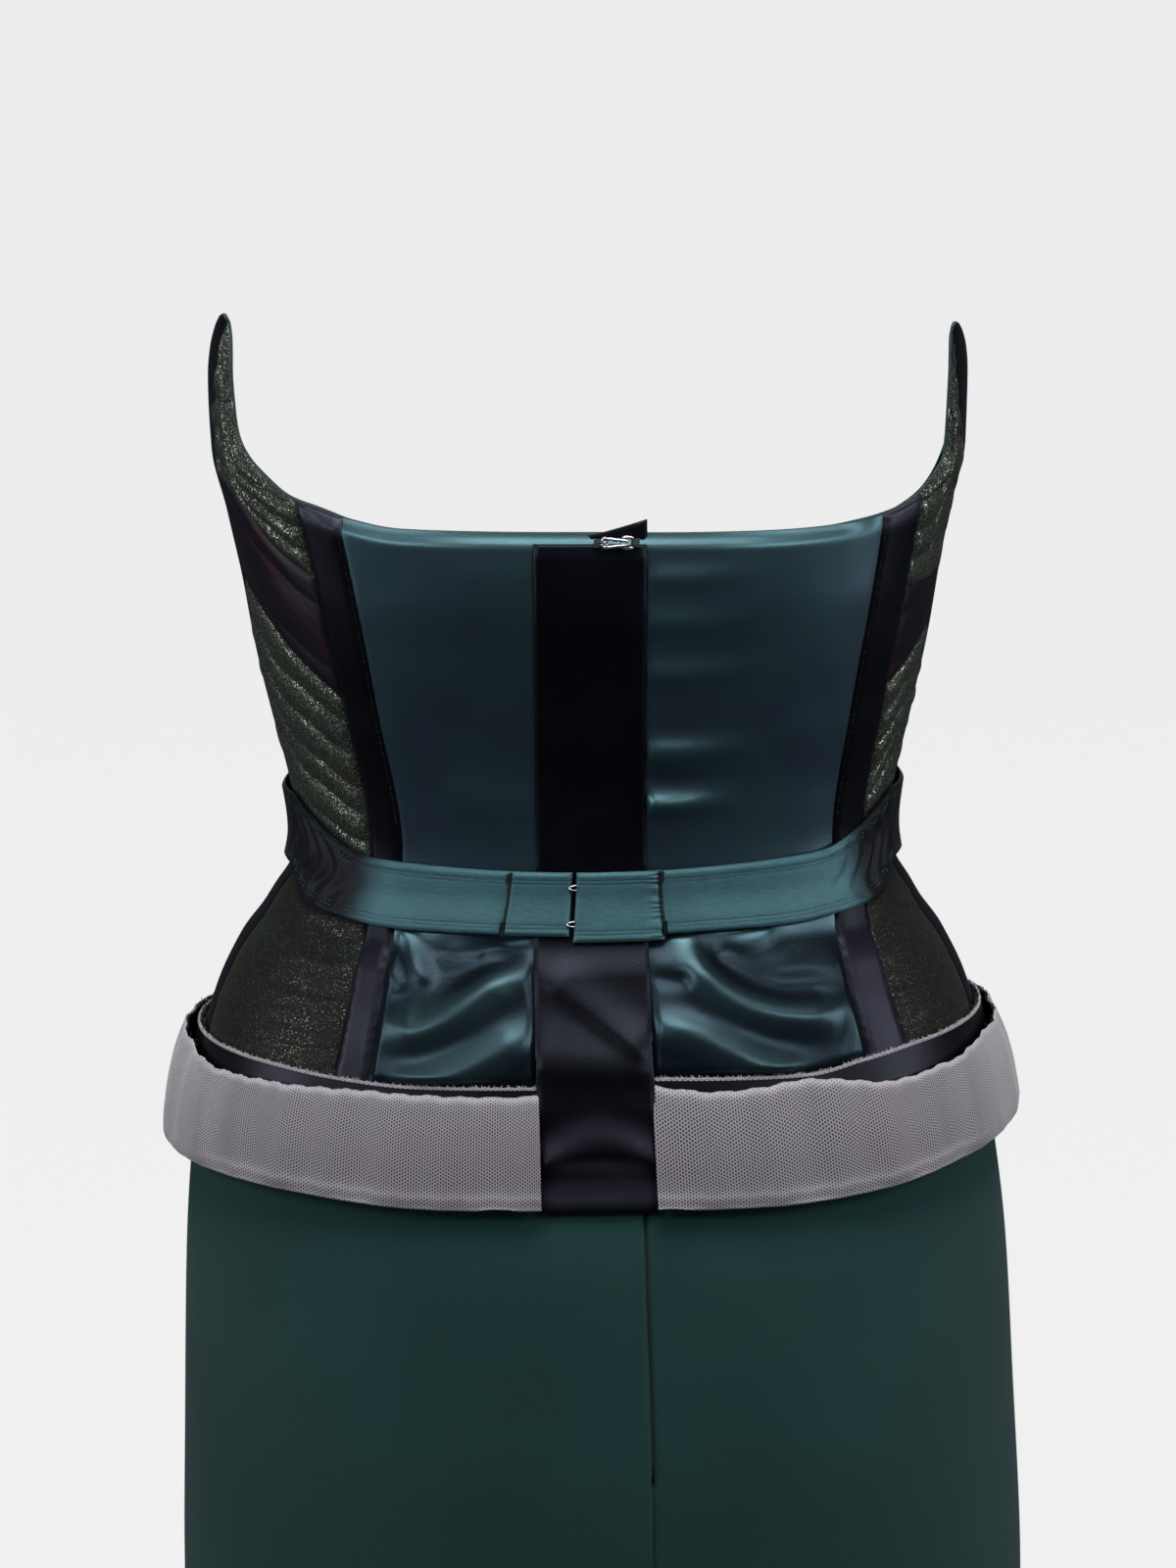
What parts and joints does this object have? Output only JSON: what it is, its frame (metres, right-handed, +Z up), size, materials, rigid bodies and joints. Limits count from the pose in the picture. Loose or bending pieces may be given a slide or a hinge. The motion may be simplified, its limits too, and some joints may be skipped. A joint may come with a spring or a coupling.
{
  "type": "corset dress",
  "caption": "Strapless corset dress in its worn form: boned satin and lame bodice, hooked belt, folded net hip band and straight skirt, open at neck and hem.",
  "frame": {"origin": "middle of the wearer's waist, where the belt holds the dress, on the middle line of the figure", "axes": "+Z up along the wearer's spine, +X to the wearer's right, -Y out of the wearer's back"},
  "size_m": [0.3512, 0.2547, 0.8203],
  "materials": {
    "night_satin": "dark teal satin with a soft sheen",
    "black_satin": "black satin",
    "glitter_lame": "gathered olive-grey glitter lame",
    "plum_satin": "plum-black satin laid in folds",
    "hip_mesh": "dark olive net over lame, with sparse glitter",
    "belt_satin": "stitched teal satin",
    "silver_net": "fine silver-pink net",
    "green_crepe": "matt dark green crepe",
    "silver_metal": "nickel hooks"
  },
  "bodies": {
    "root": {"back_satin_left": "night_satin", "back_satin_right": "night_satin", "back_placket": "black_satin", "zip_guard": "black_satin", "neck_hook": "silver_metal", "bone_casing_left": "black_satin", "bone_casing_right": "black_satin", "lame_upper_left": "glitter_lame", "lame_upper_right": "glitter_lame", "sash_left": "plum_satin", "sash_right": "plum_satin", "lame_lower_left": "glitter_lame", "lame_lower_right": "glitter_lame", "hip_net_left": "hip_mesh", "hip_net_right": "hip_mesh", "side_front_left": "black_satin", "side_front_right": "black_satin", "front_centre": "night_satin", "waist_belt": "belt_satin", "belt_eye_tab": "belt_satin", "belt_hook_tab": "belt_satin", "belt_hook_upper": "silver_metal", "belt_hook_lower": "silver_metal", "hip_band_left": "silver_net", "hip_band_right": "silver_net", "skirt_back_left": "green_crepe", "skirt_back_right": "green_crepe", "skirt_front": "green_crepe"}
  },
  "joints": []
}
